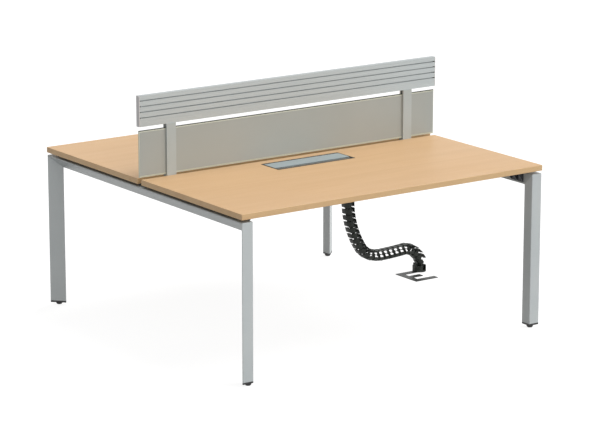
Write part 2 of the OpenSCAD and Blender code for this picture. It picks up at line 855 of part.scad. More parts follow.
module hinge_pin_pair() {
    end_x = well_x;
    length = well_wall + port_gap + pin_l - over;
    rod_x(end_x - length, -hinge_y, hinge_z, pin_r, length);
    rod_x(-end_x, -hinge_y, hinge_z, pin_r, length);
}

// Brush of the front port: a bar with a row of bristles towards the lid
module brush_strip() {
    half = well_x - well_wall - loose_gap;
    pitch = (2 * half - 2 * bristle_t) / (bristle_count - 1);
    tip_y = -lid_far - loose_gap;
    block(-half, half, -brush_y - brush_bar_d, -brush_y, brush_z, desk_height);
    for (k = [0:bristle_count - 1])
        translate([-half + bristle_t + k * pitch, tip_y, bristle_z]) rotate([90, 0, 0])
            linear_extrude(brush_y - lid_far - loose_gap + bristle_root)
                polygon([[-bristle_t / 2, -bristle_t / 2], [bristle_t / 2, -bristle_t / 2],
                    [0, bristle_t / 2]]);
}

// Outline of the spine, seen along it: an oval, widest across the bends
module spine_oval(r, spread) {
    for (side = [-1, 1])
        translate([0, side * spread]) circle(r = r);
    translate([-r, -spread]) square([2 * r, 2 * spread]);
}

// Plan of a knuckle and of the side wall that curls from it to its tip
module curl(r, spread, wall) {
    side = r + over;
    wide = r + spread + over;
    intersection() {
        spine_oval(r, spread);
        union() {
            difference() {
                translate([-side, -wide]) square([side + wall_end, wide + wall_back]);
                spine_oval(r - wall, spread);
            }
            translate([-side, -knuckle_w / 2]) square([over + knuckle_t, knuckle_w]);
        }
    }
}

// Side view of a knuckle and its side wall, with cut corners
module curl_side() {
    side = ring_r + over;
    polygon([[-side, -edge_long / 2], [edge_cut - ring_r, -wall_long / 2],
        [wall_taper, -wall_long / 2], [wall_end, -tip_long / 2],
        [wall_end, tip_long / 2], [wall_taper, wall_long / 2],
        [edge_cut - ring_r, wall_long / 2], [-side, edge_long / 2]]);
}

module half_link() {
    wide = ring_wide + over;
    intersection() {
        translate([0, 0, ring_mid - wall_long / 2]) linear_extrude(wall_long)
            curl(ring_r, ring_spread, ring_wall);
        translate([0, wide, ring_mid]) rotate([90, 0, 0]) linear_extrude(2 * wide) curl_side();
    }
}

// Web of a link: a bar that leans from one knuckle, past the socket, to the other
module link_web() {
    x1 = ring_r - knuckle_t / 2;
    half = web_l / 2;
    translate([0, web_t / 2, ring_mid]) rotate([90, 0, 0]) linear_extrude(web_t)
        polygon([[-x1, -web_lean - half], [-web_in, -web_lean - half], [web_in, web_lean - half],
            [x1, web_lean - half], [x1, web_lean + half], [web_in, web_lean + half],
            [-web_in, -web_lean + half], [-x1, -web_lean + half]]);
}

// Link of the spine, along +Z from its socket to its ball
module spine_link() {
    difference() {
        union() {
            half_link();
            rotate([0, 0, 180]) half_link();
            link_web();
            rod_z(0, 0, -socket_mouth, socket_r, socket_mouth + socket_r + 1);
            rod_z(0, 0, socket_r, neck_r, link_pitch - socket_r);
            translate([0, 0, link_pitch]) sphere(r = ball_r);
        }
        sphere(r = ball_r + socket_gap);
    }
}

module spine_links(from, to) {
    for (i = [from:to])
        translate([link_joints[i][0], spine_y, link_joints[i][1]])
            rotate([0, -link_headings[i], 0])
                spine_link();
}

module spine_bracket_sheet() {
    y0 = inner_beam_y + beam_w / 2;
    x = top_joint[0];
    z = top_joint[1];
    difference() {
        union() {
            block(x - shelf_w / 2, x + shelf_w / 2, y0, y0 + shelf_t, shelf_z, shelf_z + shelf_wall_h);
            block(x - shelf_w / 2, x + shelf_w / 2, y0, spine_y + ring_r, shelf_z, shelf_z + shelf_t);
            rod_z(x, spine_y, z - socket_mouth, socket_r, shelf_z - z + socket_mouth + shelf_t / 2);
        }
        translate([x, spine_y, z]) sphere(r = ball_r + socket_gap);
        spine_screw_shanks(fit_gap);
    }
}

module spine_screw_shanks(gap) {
    y0 = inner_beam_y + beam_w / 2;
    for (k = [-1, 1])
        rod_y(top_joint[0] + k * shelf_screw_pitch / 2, y0 - small_bite, shelf_z + shelf_wall_h / 2,
            screw_r + gap, small_bite + shelf_t + (gap > 0 ? over : 0));
}

// Foot of the spine: a cup of the links' plan with one tall knuckle, and a
// leaning neck that carries the first ball
module spine_foot_cup() {
    ball_at = [first_ball[0] - foot_x, 0, foot_h + ball_lift];
    translate([foot_x, spine_y, plate_t]) difference() {
        union() {
            linear_extrude(foot_base_t) spine_oval(foot_r, foot_spread);
            for (turn = [0, 180])
                linear_extrude(foot_wall_h) rotate(turn) curl(foot_r, foot_spread, foot_wall);
            linear_extrude(foot_h) intersection() {
                spine_oval(foot_r, foot_spread);
                translate([-foot_r, -knuckle_w / 2]) square([knuckle_t, knuckle_w]);
            }
            cylinder(h = foot_screw_l, r = foot_post_r);
            intersection() {
                translate(ball_at) rotate([0, -foot_lean, 0]) translate([0, 0, -2 * foot_h])
                    cylinder(h = 2 * foot_h - 3 * socket_mouth, r = foot_neck_r);
                cylinder(h = 2 * foot_h, r = foot_r);
            }
            translate(ball_at) {
                rotate([0, -foot_lean, 0]) translate([0, 0, -4 * socket_mouth])
                    cylinder(h = 4 * socket_mouth, r = neck_r);
                sphere(r = ball_r);
            }
        }
        translate([0, 0, -over]) cylinder(h = foot_screw_l - over, r = foot_screw_r + fit_gap);
    }
}

module foot_screw() {
    translate([foot_x, spine_y, fit_gap]) {
        cylinder(h = foot_screw_head_r - foot_screw_r, r1 = foot_screw_head_r, r2 = foot_screw_r);
        cylinder(h = plate_t + foot_screw_l - 2 * over - fit_gap, r = foot_screw_r);
    }
}

module floor_plate_sheet() {
    difference() {
        translate([plate_x, plate_y, 0]) linear_extrude(plate_t) union() {
            square([prong_w, plate_w]);
            square([plate_l - front_prong_cut, prong_w]);
            translate([0, (plate_w - prong_w) / 2]) square([plate_l - middle_prong_cut, prong_w]);
            translate([0, plate_w - prong_w]) square([plate_l, prong_w]);
        }
        translate([foot_x, spine_y, 0]) {
            cylinder(h = foot_screw_head_r - foot_screw_r, r1 = foot_screw_head_r + fit_gap,
                r2 = foot_screw_r + fit_gap);
            cylinder(h = plate_t + over, r = foot_screw_r + fit_gap);
        }
    }
}

module flipped() mirror([0, 1, 0]) children();

// One module for each sub-part
module worktop_front() centred() color(beech) worktop_board();
module worktop_rear() centred() color(beech) flipped() worktop_board();
module edge_band_front() centred() color(beech_edge) edge_band();
module edge_band_rear() centred() color(beech_edge) flipped() edge_band();
module leg_front_left() centred() color(silver_paint) at_corner(-1, -1) leg_tube();
module leg_front_right() centred() color(silver_paint) at_corner(1, -1) leg_tube();
module leg_rear_left() centred() color(silver_paint) at_corner(-1, 1) leg_tube();
module leg_rear_right() centred() color(silver_paint) at_corner(1, 1) leg_tube();
module crossbar_left() centred() color(silver_paint) crossbar();
module crossbar_right() centred() color(silver_paint) mirror([1, 0, 0]) crossbar();
module leg_end_caps() centred() color(black_plastic) each_corner() end_cap();
module levelling_nuts() centred() color(zinc) each_corner() levelling_nut();
module glide_stud_front_left() centred() color(zinc) at_corner(-1, -1) glide_stud();
module glide_stud_front_right() centred() color(zinc) at_corner(1, -1) glide_stud();
module glide_stud_rear_left() centred() color(zinc) at_corner(-1, 1) glide_stud();
module glide_stud_rear_right() centred() color(zinc) at_corner(1, 1) glide_stud();
module glide_pad_front_left() centred() color(black_plastic) at_corner(-1, -1) glide_pad();
module glide_pad_front_right() centred() color(black_plastic) at_corner(1, -1) glide_pad();
module glide_pad_rear_left() centred() color(black_plastic) at_corner(-1, 1) glide_pad();
module glide_pad_rear_right() centred() color(black_plastic) at_corner(1, 1) glide_pad();
module corner_brackets() centred() color(dark_grey) each_corner() corner_bracket();

module bracket_bolts() centred() color(zinc) each_corner() {
    bracket_bolt_shanks(0);
    for (y = bracket_ys)
        rod_x(tube_a + bracket_t, y, bracket_bolt_z, small_head_r, small_head_h);
}

module spacer_strips() centred() color(black_plastic) {
    spacer_strip_set();
    mirror([1, 0, 0]) spacer_strip_set();
}

module beam_front_outer() centred() color(silver_paint) beam(-outer_beam_y, outer_pad_xs, false);
module beam_front_inner() centred() color(silver_paint) beam(-inner_beam_y, inner_pad_xs, true);
module beam_rear_inner() centred() color(silver_paint) beam(inner_beam_y, inner_pad_xs, true);
module beam_rear_outer() centred() color(silver_paint) beam(outer_beam_y, outer_pad_xs, false);

module beam_end_plates() centred() color(silver_paint)
    for (y = beam_ys) {
        end_plate(-inner_face, y);
        end_plate(inner_face - end_plate_t, y);
    }

module beam_bolts() centred() color(zinc)
    for (side = [0, 1])
        mirror([side, 0, 0])
            for (y = beam_ys)
                for (k = [-1, 1]) {
                    bolt_y = y + k * end_bolt_pitch / 2;
                    rod_x(-inner_face - bolt_bite, bolt_y, beam_z + beam_h / 2, bolt_r,
                        bolt_bite + end_plate_t);
                    translate([-inner_face + end_plate_t, bolt_y, beam_z + beam_h / 2])
                        rotate([0, 90, 0]) cylinder(h = bolt_head_h, r = bolt_head_r, $fn = 6);
                }

module beam_pads() centred() color(black_plastic) {
    for (y = [-outer_beam_y, outer_beam_y]) pads_for_beam(y, outer_pad_xs);
    for (y = [-inner_beam_y, inner_beam_y]) pads_for_beam(y, inner_pad_xs);
}

module worktop_screws() centred() color(zinc) {
    for (side = [-1, 1]) {
        for (x = outer_pad_xs) beam_screw(x, side * outer_beam_y);
        for (x = inner_pad_xs) beam_screw(x, side * inner_beam_y);
    }
    each_corner() {
        bracket_screw_shanks(0);
        for (y = bracket_ys)
            rod_z(bracket_screw_x, y, board_z - bracket_t - screw_head_h, screw_head_r, screw_head_h);
    }
}

module post_carriers() centred() color(silver_paint)
    for (x = [-post_x, post_x]) post_carrier(x);
module carrier_bolts() centred() color(zinc)
    for (x = [-post_x, post_x]) carrier_bolt(x);
module screen_post_left() centred() color(silver_paint) screen_post(-post_x);
module screen_post_right() centred() color(silver_paint) screen_post(post_x);
module screen_panel() centred() color(satin_panel) screen_panel_sheet();
module rail_brackets() centred() color(dark_grey)
    for (x = [-post_x, post_x]) rail_bracket(x);

module panel_set_screws() centred() color(zinc)
    for (x = [-post_x, post_x])
        for (share = set_screw_share) set_screw(x, panel_z + panel_h * share);

module rail_core() centred() color(silver_paint) rail_core_plate();

module rail_slats_front() centred() color(silver_paint)
    flipped() for (k = [0:groove_count]) slat(k);

module rail_slats_rear() centred() color(silver_paint) difference() {
    for (k = [0:groove_count]) slat(k);
    for (x = [-post_x, post_x]) {
        rail_screw_shanks(x, fit_gap);
        rail_screw_heads(x, fit_gap);
    }
}

module rail_end_caps() centred() color("rosybrown") {
    rail_end_cap(-1);
    rail_end_cap(1);
}

module rail_screws() centred() color(zinc)
    for (x = [-post_x, post_x]) {
        rail_screw_shanks(x, 0);
        rail_screw_heads(x, 0);
    }

module cable_tray() centred() color(silver_paint) tray();

module frame_screws() centred() color(zinc) {
    tray_screw_shanks(0);
    for (x = tray_screw_xs)
        for (y = [-inner_beam_y, inner_beam_y])
            rod_z(x, y, beam_z - sheet_t - small_head_h, small_head_r, small_head_h);
    spine_screw_shanks(0);
    for (k = [-1, 1])
        rod_y(top_joint[0] + k * shelf_screw_pitch / 2, inner_beam_y + beam_w / 2 + shelf_t,
            shelf_z + shelf_wall_h / 2, small_head_r, small_head_h);
}

module port_frame_front() centred() color(silver_paint) port_frame();
module port_frame_rear() centred() color(silver_paint) flipped() port_frame();
module port_lid_front() centred() color(silver_paint) port_lid();
module port_lid_rear() centred() color(silver_paint) flipped() port_lid();
module hinge_pins_front() centred() color(zinc) hinge_pin_pair();
module hinge_pins_rear() centred() color(zinc) flipped() hinge_pin_pair();
module brush_strip_front() centred() color(black_plastic) brush_strip();
module brush_strip_rear() centred() color(black_plastic) flipped() brush_strip();
module spine_bracket() centred() color(black_plastic) spine_bracket_sheet();
module spine_links_run() centred() color(black_plastic) spine_links(0, run_count - 1);
module spine_links_drop() centred() color(black_plastic) spine_links(run_count, len(link_headings) - 1);
module spine_foot() centred() color(black_plastic) spine_foot_cup();
module spine_foot_screw() centred() color(zinc) foot_screw();
module floor_plate() centred() color(dark_grey) floor_plate_sheet();

worktop_front();
worktop_rear();
edge_band_front();
edge_band_rear();
leg_front_left();
leg_front_right();
leg_rear_left();
leg_rear_right();
crossbar_left();
crossbar_right();
leg_end_caps();
levelling_nuts();
glide_stud_front_left();
glide_stud_front_right();
glide_stud_rear_left();
glide_stud_rear_right();
glide_pad_front_left();
glide_pad_front_right();
glide_pad_rear_left();
glide_pad_rear_right();
corner_brackets();
bracket_bolts();
spacer_strips();
beam_front_outer();
beam_front_inner();
beam_rear_inner();
beam_rear_outer();
beam_end_plates();
beam_bolts();
beam_pads();
worktop_screws();
post_carriers();
carrier_bolts();
screen_post_left();
screen_post_right();
screen_panel();
rail_brackets();
panel_set_screws();
rail_core();
rail_slats_front();
rail_slats_rear();
rail_end_caps();
rail_screws();
cable_tray();
frame_screws();
port_frame_front();
port_frame_rear();
port_lid_front();
port_lid_rear();
hinge_pins_front();
hinge_pins_rear();
brush_strip_front();
brush_strip_rear();
spine_bracket();
spine_links_drop();
spine_links_run();
spine_foot();
spine_foot_screw();
floor_plate();
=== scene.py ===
# %% [markdown]
# # A benching desk for two
#
# The real thing is an office desk: two beech-look worktops back to back on a
# silver steel frame, with a screen, a slatted rail, two cable ports and a cable
# spine that leads down to the floor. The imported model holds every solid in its
# true place. This script gives each one its finish, makes the brushes, the foot
# pads and the worktops' rounded edges, and sets up the studio.

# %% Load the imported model
import math
import random

import bmesh
import bpy
from mathutils import Matrix, Vector


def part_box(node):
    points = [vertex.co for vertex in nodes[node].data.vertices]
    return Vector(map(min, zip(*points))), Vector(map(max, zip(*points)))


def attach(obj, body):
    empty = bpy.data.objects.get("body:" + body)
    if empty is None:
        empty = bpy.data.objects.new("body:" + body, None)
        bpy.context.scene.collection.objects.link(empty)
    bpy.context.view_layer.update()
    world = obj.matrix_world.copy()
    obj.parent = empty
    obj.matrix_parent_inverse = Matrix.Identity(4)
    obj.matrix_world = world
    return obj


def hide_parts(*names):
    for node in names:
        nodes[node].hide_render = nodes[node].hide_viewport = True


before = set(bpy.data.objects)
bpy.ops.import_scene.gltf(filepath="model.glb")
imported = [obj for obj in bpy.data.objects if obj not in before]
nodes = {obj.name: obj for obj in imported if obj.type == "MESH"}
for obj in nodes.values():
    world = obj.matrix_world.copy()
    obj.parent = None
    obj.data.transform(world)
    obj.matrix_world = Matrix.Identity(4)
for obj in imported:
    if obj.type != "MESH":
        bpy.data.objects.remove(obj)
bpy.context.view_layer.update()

# %% [markdown]
# ## The camera
#
# The photograph was taken from far away with a long lens, so the desk's edges
# hardly converge. A camera could be placed by eye, but here its place and its
# two angles come from measured corners of the desk. The cable spine's foot
# reaches past the right end, so the desk's own middle lies left of the origin.

# %% Place the camera
worktop_low, worktop_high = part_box("worktop_front")
desk_middle = Vector(((worktop_low.x + worktop_high.x) / 2, 0, 0))
camera_place = Vector((-7.0304, -10.0153, 3.4707)) + desk_middle
camera_turn = 0.6135
camera_dip = 0.2430
lens_mm = 170.97
sensor_mm = 36
far_clip = 200

camera_data = bpy.data.cameras.new("photo_camera")
camera_data.sensor_width = sensor_mm
camera_data.lens = lens_mm
camera_data.clip_end = far_clip
camera = bpy.data.objects.new("photo_camera", camera_data)
camera.location = camera_place
camera.rotation_euler = (math.pi / 2 - camera_dip, 0, -camera_turn)
bpy.context.scene.collection.objects.link(camera)
bpy.context.scene.camera = camera
bpy.context.scene.view_settings.view_transform = "Standard"
print("desk's middle at", round(desk_middle.x, 4), "camera at", [round(v, 2) for v in camera_place])

# %% [markdown]
# ## Shader helpers
#
# Every finish below is a small tree of nodes. The trees could be drawn in the
# shader editor, but written out they can be read and used again. Three helpers
# keep them short: one adds a node and fills its sockets, one starts a group and
# declares its sockets, and one turns a colour as a screen shows it into light.
# Whatever varies over a surface reads Object coordinates, which are the same as
# the desk's own metres because no object is moved.

# %% Helpers for node trees
def add_node(tree, kind, inputs=None, **settings):
    node = tree.nodes.new(kind)
    for key, value in settings.items():
        setattr(node, key, value)
    for key, value in (inputs or {}).items():
        if isinstance(value, bpy.types.NodeSocket):
            tree.links.new(value, node.inputs[key])
        else:
            node.inputs[key].default_value = value
    return node


def new_group(name, sockets_in, sockets_out):
    group = bpy.data.node_groups.new(name, "ShaderNodeTree")
    for socket_name, kind, value in sockets_in:
        socket = group.interface.new_socket(socket_name, in_out="INPUT", socket_type=kind)
        socket.default_value = value
    for socket_name, kind in sockets_out:
        group.interface.new_socket(socket_name, in_out="OUTPUT", socket_type=kind)
    return group, group.nodes.new("NodeGroupInput"), group.nodes.new("NodeGroupOutput")


COLOUR, VALUE = "NodeSocketColor", "NodeSocketFloat"


def linear(red, green, blue):
    """A colour as a screen shows it, from 0 to 255, turned into light for a shader."""
    def channel(value):
        share = value / 255
        return share / 12.92 if share < 0.04045 else ((share + 0.055) / 1.055) ** 2.4
    return (channel(red), channel(green), channel(blue), 1)


print("white is", [round(v, 3) for v in linear(255, 255, 255)])

# %% [markdown]
# ## The studio
#
# The photograph has a pure white ground and very soft light. A white room would
# also throw white light on the desk's sides and wash them out. So the world and
# the floor are white only for rays that come from the camera, a mirror or glass,
# and a quiet grey for the light that they give back to the desk.

# %% The world
sky_level = 0.36


def seen_directly(tree):
    light_path = add_node(tree, "ShaderNodeLightPath")
    camera_or_gloss = add_node(tree, "ShaderNodeMath", {
        0: light_path.outputs["Is Camera Ray"], 1: light_path.outputs["Is Glossy Ray"]},
        operation="MAXIMUM")
    return add_node(tree, "ShaderNodeMath", {
        0: camera_or_gloss.outputs[0], 1: light_path.outputs["Is Transmission Ray"]},
        operation="MAXIMUM").outputs[0]


world = bpy.data.worlds.new("studio")
world.use_nodes = True
bpy.context.scene.world = world
tree = world.node_tree
tree.nodes.clear()
sky = add_node(tree, "ShaderNodeBackground", {"Color": (1, 1, 1, 1), "Strength": sky_level})
backdrop = add_node(tree, "ShaderNodeBackground", {"Color": (1, 1, 1, 1), "Strength": 1})
mixed = add_node(tree, "ShaderNodeMixShader", {0: seen_directly(tree), 1: sky.outputs[0],
                                               2: backdrop.outputs[0]})
add_node(tree, "ShaderNodeOutputWorld", {"Surface": mixed.outputs[0]})
print("world light", sky_level)

# %% The floor
floor_grey = 0.36
floor_size = 120
# For the camera the floor mostly glows, and the rest is diffuse, which keeps the desk's shadow
floor_glow = 0.89
floor_white = 0.24

floor_finish = bpy.data.materials.new("studio_floor")
floor_finish.use_nodes = True
tree = floor_finish.node_tree
tree.nodes.clear()
grey = add_node(tree, "ShaderNodeBsdfDiffuse", {"Color": (floor_grey, floor_grey, floor_grey, 1)})
pale = add_node(tree, "ShaderNodeBsdfDiffuse", {"Color": (floor_white, floor_white, floor_white, 1)})
glow = add_node(tree, "ShaderNodeEmission", {"Color": (1, 1, 1, 1), "Strength": floor_glow})
white = add_node(tree, "ShaderNodeAddShader", {0: pale.outputs[0], 1: glow.outputs[0]})
mixed = add_node(tree, "ShaderNodeMixShader", {0: seen_directly(tree), 1: grey.outputs[0],
                                               2: white.outputs[0]})
add_node(tree, "ShaderNodeOutputMaterial", {"Surface": mixed.outputs[0]})

ground = bmesh.new()
bmesh.ops.create_grid(ground, x_segments=1, y_segments=1, size=floor_size / 2)
floor_mesh = bpy.data.meshes.new("floor")
ground.to_mesh(floor_mesh)
ground.free()
floor = bpy.data.objects.new("floor", floor_mesh)
floor_mesh.materials.append(floor_finish)
bpy.context.scene.collection.objects.link(floor)
print("floor", floor_size, "m wide")

# %% [markdown]
# ## The lamps
#
# In the photograph the tops are bright, the faces that look left are the darkest,
# and the shadows on the floor hardly show. Area lamps beside the desk could do
# this, but their light falls off with distance, so the near corner would be
# brighter than the far one. A sun lamp with a wide angle acts as a large soft box
# far away: its light is even and its shadows are soft. The key lamp stands high
# on the right, and the fill lamp low in front.

# %% Lamps
def lamp(name, towards, level, spread_degrees):
    data = bpy.data.lights.new(name, "SUN")
    # A white surface that faces a sun lamp of strength pi shows as pure white
    data.energy = level * math.pi
    data.angle = math.radians(spread_degrees)
    lamp_object = bpy.data.objects.new(name, data)
    lamp_object.rotation_mode = "QUATERNION"
    lamp_object.rotation_quaternion = Vector(towards).to_track_quat("Z", "Y")
    bpy.context.scene.collection.objects.link(lamp_object)
    print(name, "at level", level)


lamp("key_lamp", (0.50, -0.14, 0.85), level=0.76, spread_degrees=50)
lamp("fill_lamp", (0.03, -0.97, 0.22), level=0.42, spread_degrees=60)

# %% [markdown]
# ## Shared surface effects
#
# The finishes share three things: a fine grain in paint and plastic, long brushed
# streaks in the aluminium, and the wood's figure. Each is a group made once, and
# the material decides what to do with what it puts out. Pictures could be laid
# over the meshes instead, but each part would then need a map of its own, and a
# pattern that fills space needs none.

# %% Group: fine grain of paint and moulded plastic
def grain_group():
    group, given, result = new_group("fine_grain", [("Size", VALUE, 0.002), ("Patch", VALUE, 0.25)],
                                     [("Height", VALUE), ("Blotch", VALUE)])
    place = add_node(group, "ShaderNodeTexCoord").outputs["Object"]
    per_metre = add_node(group, "ShaderNodeMath", {0: 1.0, 1: given.outputs["Size"]}, operation="DIVIDE")
    fine = add_node(group, "ShaderNodeTexNoise", {"Vector": place, "Scale": per_metre.outputs[0],
                                                  "Detail": 3.0, "Roughness": 0.6})
    per_patch = add_node(group, "ShaderNodeMath", {0: 1.0, 1: given.outputs["Patch"]}, operation="DIVIDE")
    broad = add_node(group, "ShaderNodeTexNoise", {"Vector": place, "Scale": per_patch.outputs[0],
                                                   "Detail": 4.0, "Roughness": 0.55})
    group.links.new(fine.outputs["Fac"], result.inputs["Height"])
    group.links.new(broad.outputs["Fac"], result.inputs["Blotch"])
    return group


fine_grain = grain_group()
print("group", fine_grain.name)

# %% [markdown]
# ## Brushed streaks
#
# Brushing leaves fine lines along the metal. An anisotropic shader could stretch
# the highlights as such lines do, but from some steps away it is the uneven tone
# that shows. So this is a noise that is fine across the desk and long along it.

# %% Group: brushed streaks along the desk
def streak_group():
    group, given, result = new_group("brushed_streaks", [("Across", VALUE, 900.0), ("Along", VALUE, 3.0)],
                                     [("Streak", VALUE)])
    place = add_node(group, "ShaderNodeTexCoord").outputs["Object"]
    stretch = add_node(group, "ShaderNodeCombineXYZ", {
        0: given.outputs["Along"], 1: given.outputs["Across"], 2: given.outputs["Across"]})
    stretched = add_node(group, "ShaderNodeVectorMath", {0: place, 1: stretch.outputs[0]},
                         operation="MULTIPLY")
    streaks = add_node(group, "ShaderNodeTexNoise", {"Vector": stretched.outputs[0], "Scale": 1.0,
                                                     "Detail": 4.0, "Roughness": 0.7})
    group.links.new(streaks.outputs["Fac"], result.inputs["Streak"])
    return group


brushed_streaks = streak_group()
print("group", brushed_streaks.name)

# %% [markdown]
# ## Beech
#
# Steamed beech has a calm pinkish-tan ground with faint broad bands, and it is
# known by its flecks: thousands of short dark dashes along the grain, about
# 5 mm long and half a millimetre wide. A scan of a board could be used, but a
# short one repeats on so long a top. Here the bands are a noise stretched along
# the desk, and the flecks are a much finer Voronoi pattern stretched the same way.

# %% Group: beech figure
# Each pattern is this much denser across the grain, along Y and Z, than along X
band_stretch = (0.9, 11.0, 11.0)
fleck_stretch = (110.0, 900.0, 900.0)


def beech_group():
    group, given, result = new_group(
        "beech_figure", [("Ground", COLOUR, linear(222, 188, 150)), ("Band", COLOUR, linear(211, 175, 136)),
                         ("Fleck", COLOUR, linear(178, 136, 98))],
        [("Color", COLOUR)])
    place = add_node(group, "ShaderNodeTexCoord").outputs["Object"]
    band_place = add_node(group, "ShaderNodeVectorMath", {0: place, 1: band_stretch},
                          operation="MULTIPLY")
    bands = add_node(group, "ShaderNodeTexNoise", {"Vector": band_place.outputs[0], "Scale": 1.6,
                                                   "Detail": 7.0, "Roughness": 0.6, "Distortion": 0.8})
    band_mask = add_node(group, "ShaderNodeMapRange", {"Value": bands.outputs["Fac"], "From Min": 0.38,
                                                       "From Max": 0.66, "To Max": 0.75})
    toned = add_node(group, "ShaderNodeMixRGB", {
        "Fac": band_mask.outputs[0], "Color1": given.outputs["Ground"], "Color2": given.outputs["Band"]})
    fleck_place = add_node(group, "ShaderNodeVectorMath", {0: place, 1: fleck_stretch},
                           operation="MULTIPLY")
    flecks = add_node(group, "ShaderNodeTexVoronoi", {"Vector": fleck_place.outputs[0], "Scale": 1.0,
                                                      "Randomness": 1.0})
    fleck_mask = add_node(group, "ShaderNodeMapRange", {"Value": flecks.outputs["Distance"],
                                                        "From Min": 0.30, "From Max": 0.12,
                                                        "To Max": 0.34})
    flecked = add_node(group, "ShaderNodeMixRGB", {"Fac": fleck_mask.outputs[0], "Color1": toned.outputs[0],
                                                   "Color2": given.outputs["Fleck"]})
    group.links.new(flecked.outputs[0], result.inputs["Color"])
    return group


beech_figure = beech_group()
print("group", beech_figure.name)

# %% [markdown]
# ## From effects to finishes
#
# A finish is a material with one Principled shader. What is the same all over,
# such as metal or coat, is set on the shader itself, and what varies comes from a
# group. The shader could go into the group too, but it stays in the material, so
# that each finish keeps values of its own.

# %% Helpers for finishes
def new_finish(name, **constants):
    """A material with one Principled shader, its fixed values on the shader's own sockets."""
    finish = bpy.data.materials.new(name)
    finish.use_nodes = True
    shader = finish.node_tree.nodes["Principled BSDF"]
    for key, value in constants.items():
        shader.inputs[key.replace("_", " ")].default_value = value
    return finish, finish.node_tree, shader


def use_group(tree, group, inputs):
    return add_node(tree, "ShaderNodeGroup", inputs, node_tree=group)


# Most values of a noise lie between these two, and most of its broad patches in the inner pair
noise_low, noise_high = 0.3, 0.7
patch_low, patch_high = 0.35, 0.65


def tone(tree, mask, low, high, colour_low, colour_high):
    """Two tones of one colour, chosen by a mask between low and high."""
    share = add_node(tree, "ShaderNodeMapRange", {"Value": mask, "From Min": low, "From Max": high})
    return add_node(tree, "ShaderNodeMixRGB", {"Fac": share.outputs[0], "Color1": colour_low,
                                               "Color2": colour_high}).outputs[0]


def spread(tree, mask, low, high):
    """A value that runs from low to high with a mask."""
    return add_node(tree, "ShaderNodeMapRange", {
        "Value": mask, "From Min": noise_low, "From Max": noise_high, "To Min": low,
        "To Max": high}).outputs[0]


def relief(tree, shader, height, depth):
    bump = add_node(tree, "ShaderNodeBump", {"Height": height, "Distance": depth, "Strength": 0.5})
    tree.links.new(bump.outputs[0], shader.inputs["Normal"])


print("masks are read from", noise_low, "to", noise_high)

# %% [markdown]
# ## The worktops' finish
#
# The tops are taken to be laminate, a beech print under a satin skin, and the
# plastic band round their edge has the same print, a little lighter. Real wood
# would need open pores in its relief. Here a bump of a few hundredths of a
# millimetre and a roughness that drifts in broad patches are enough. The shine is
# low, so that the white studio doesn't wash out the wood.

# %% Beech worktop and its edge band
def beech_finish(name, ground, band, fleck, rough_low, rough_high, shine):
    finish, tree, shader = new_finish(name, Coat_Weight=0.05, Coat_Roughness=0.3,
                                      Specular_IOR_Level=shine)
    figure = use_group(tree, beech_figure, {"Ground": ground, "Band": band, "Fleck": fleck})
    grain = use_group(tree, fine_grain, {"Size": 0.0012, "Patch": 0.3})
    tree.links.new(figure.outputs["Color"], shader.inputs["Base Color"])
    tree.links.new(spread(tree, grain.outputs["Blotch"], rough_low, rough_high), shader.inputs["Roughness"])
    relief(tree, shader, grain.outputs["Height"], depth=0.00006)
    return finish


beech = beech_finish("beech_laminate", linear(213, 175, 131), linear(207, 168, 123),
                     linear(184, 142, 101), rough_low=0.42, rough_high=0.5, shine=0.25)
beech_edge = beech_finish("beech_edge_band", linear(219, 184, 138), linear(211, 173, 128),
                          linear(184, 144, 104), rough_low=0.38, rough_high=0.46, shine=0.3)
print("beech finishes ready")

# %% [markdown]
# ## Silver paint
#
# The steel tubes of the legs, crossbars and posts have a silver powder coat. A
# metallic shader seems right for silver, but it would mirror the white studio,
# and the photograph shows plain soft greys. So the paint is a light grey under a
# thin clear coat, with a fine grain and two tones in broad patches. The posts and
# the crossbars get darker copies of the same grey as painted shade, and the
# crossbars shine less.

# %% Silver paint of the steel frame
def paint_finish(name, light, dark, roughness=0.38, coat=0.3, shine=0.5):
    finish, tree, shader = new_finish(name, Coat_Weight=coat, Coat_Roughness=0.22,
                                      Specular_IOR_Level=shine)
    grain = use_group(tree, fine_grain, {"Size": 0.0016, "Patch": 0.22})
    colour = tone(tree, grain.outputs["Blotch"], patch_low, patch_high, dark, light)
    tree.links.new(colour, shader.inputs["Base Color"])
    tree.links.new(spread(tree, grain.outputs["Height"], roughness - 0.04, roughness + 0.05),
                   shader.inputs["Roughness"])
    relief(tree, shader, grain.outputs["Height"], depth=0.00008)
    return finish


silver_paint = paint_finish("silver_powder_coat", linear(196, 201, 201), linear(190, 196, 197))
# Darker copies of the same silver: painted shade on the posts and the crossbars
post_shaded_paint = paint_finish("post_shaded_paint", linear(180, 187, 186), linear(174, 182, 181))
crossbar_shaded_paint = paint_finish("crossbar_shaded_paint", linear(182, 187, 187), linear(176, 182, 182),
                              coat=0.1, shine=0.3)
print("paint ready")

# %% [markdown]
# ## Aluminium
#
# The rail's core and slats and the ports' lids are aluminium with fine lines
# along the desk. Bare metal would show little but the studio, so this finish is
# only about half metal, and the rest is a plain grey that keeps its tone from
# every side. The streaks drive the tone, the roughness and a shallow relief
# together, as real brushing does.

# %% Brushed aluminium of the rail and the ports
def aluminium_finish(name, light, dark, roughness):
    finish, tree, shader = new_finish(name, Metallic=0.55)
    streaks = use_group(tree, brushed_streaks, {"Across": 700.0, "Along": 2.5})
    colour = tone(tree, streaks.outputs["Streak"], noise_low, noise_high, dark, light)
    tree.links.new(colour, shader.inputs["Base Color"])
    tree.links.new(spread(tree, streaks.outputs["Streak"], roughness - 0.05, roughness + 0.07),
                   shader.inputs["Roughness"])
    relief(tree, shader, streaks.outputs["Streak"], depth=0.00005)
    return finish


